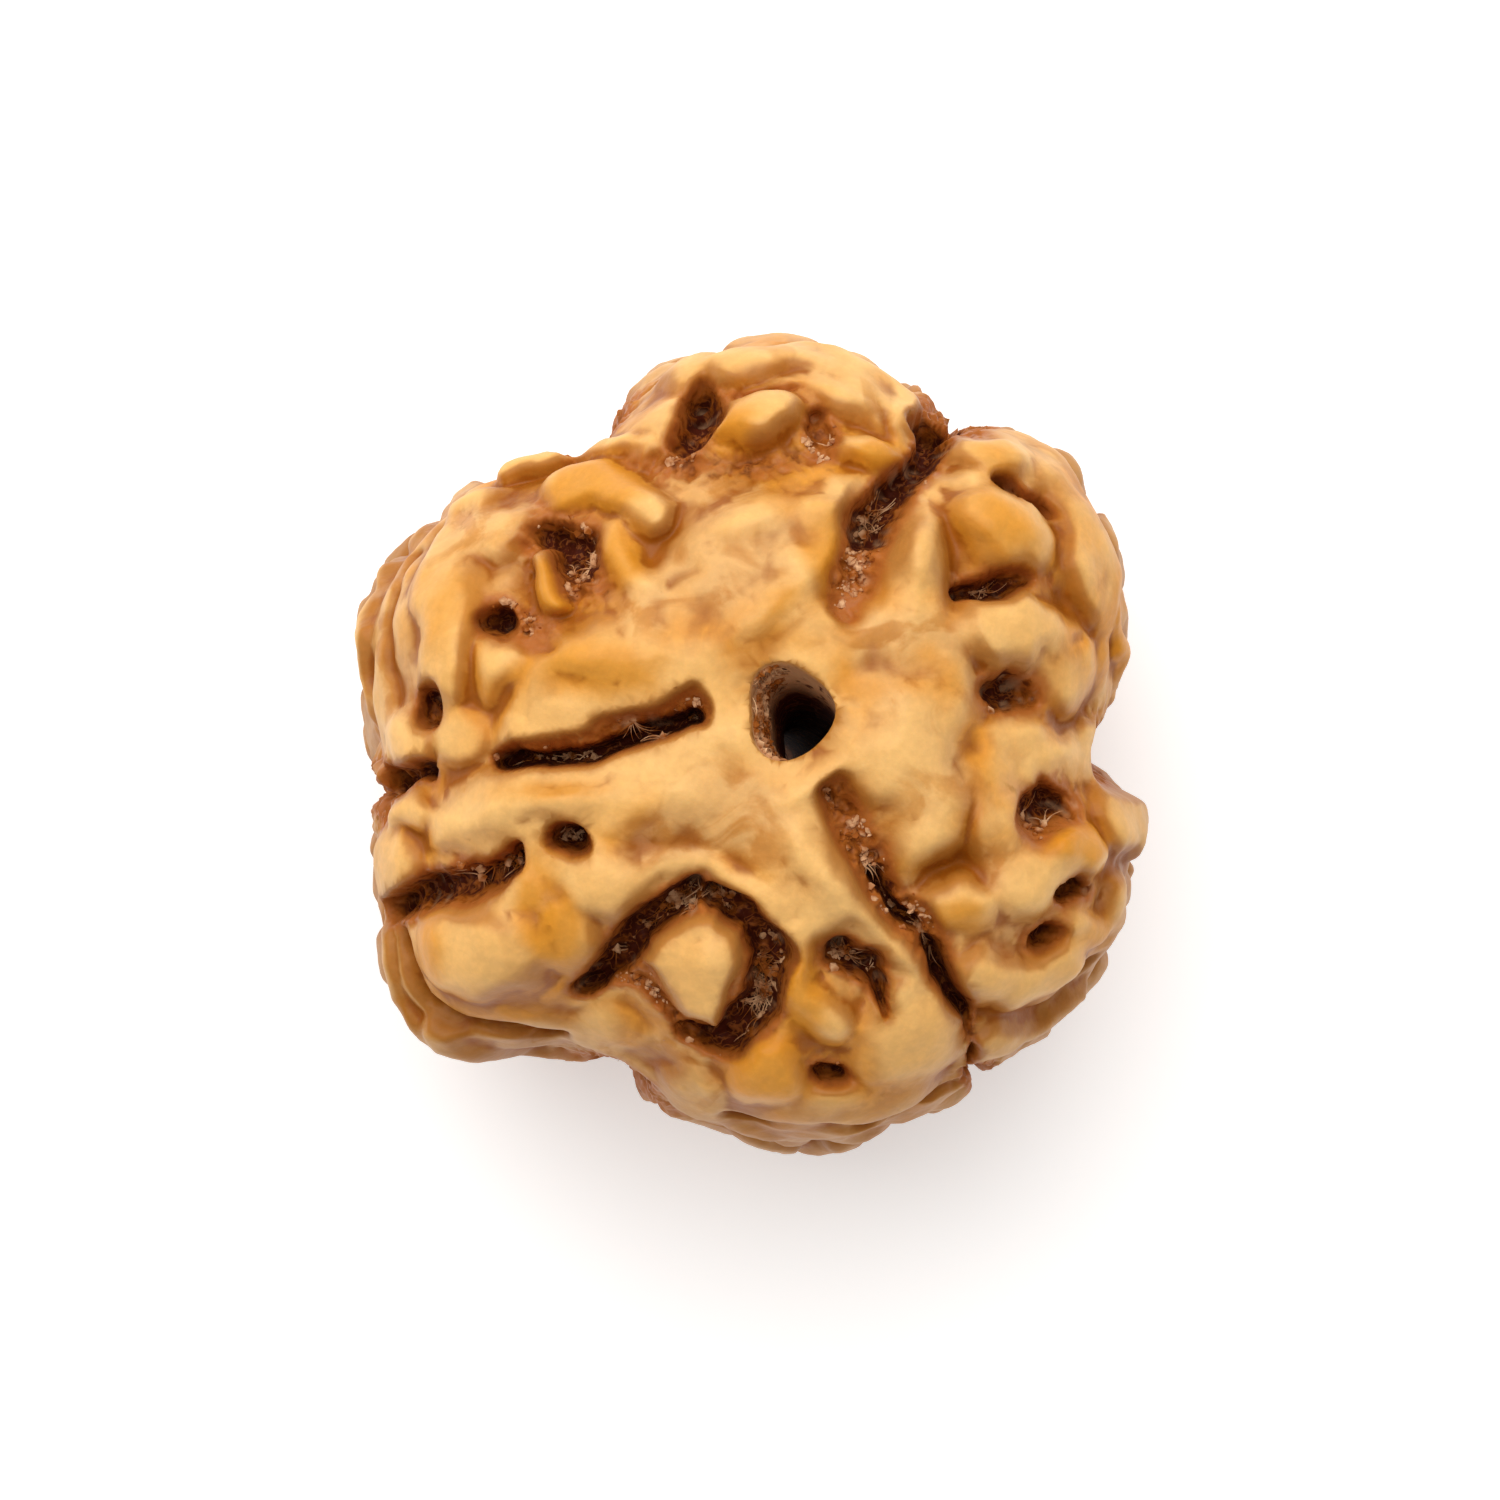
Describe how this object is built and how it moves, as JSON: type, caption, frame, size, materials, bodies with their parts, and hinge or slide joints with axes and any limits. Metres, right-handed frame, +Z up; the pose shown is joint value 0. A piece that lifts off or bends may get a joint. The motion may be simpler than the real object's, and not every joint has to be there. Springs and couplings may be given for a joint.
{
  "type": "rudraksha bead",
  "caption": "Dried fruit stone used as a bead: a round, deeply ridged and pitted body with lines from end to end and a natural hole along its axis.",
  "frame": {"origin": "on the surface that the bead rests on, under the middle of its box", "axes": "+Z up along the natural hole, +X and +Y across the bead as the picture shows it from above"},
  "size_m": [0.02, 0.0208, 0.0175],
  "materials": {
    "dried_fruit_stone": "dry woody stone, lightly waxed, satin"
  },
  "bodies": {
    "root": {"bead": "dried_fruit_stone"}
  },
  "joints": []
}
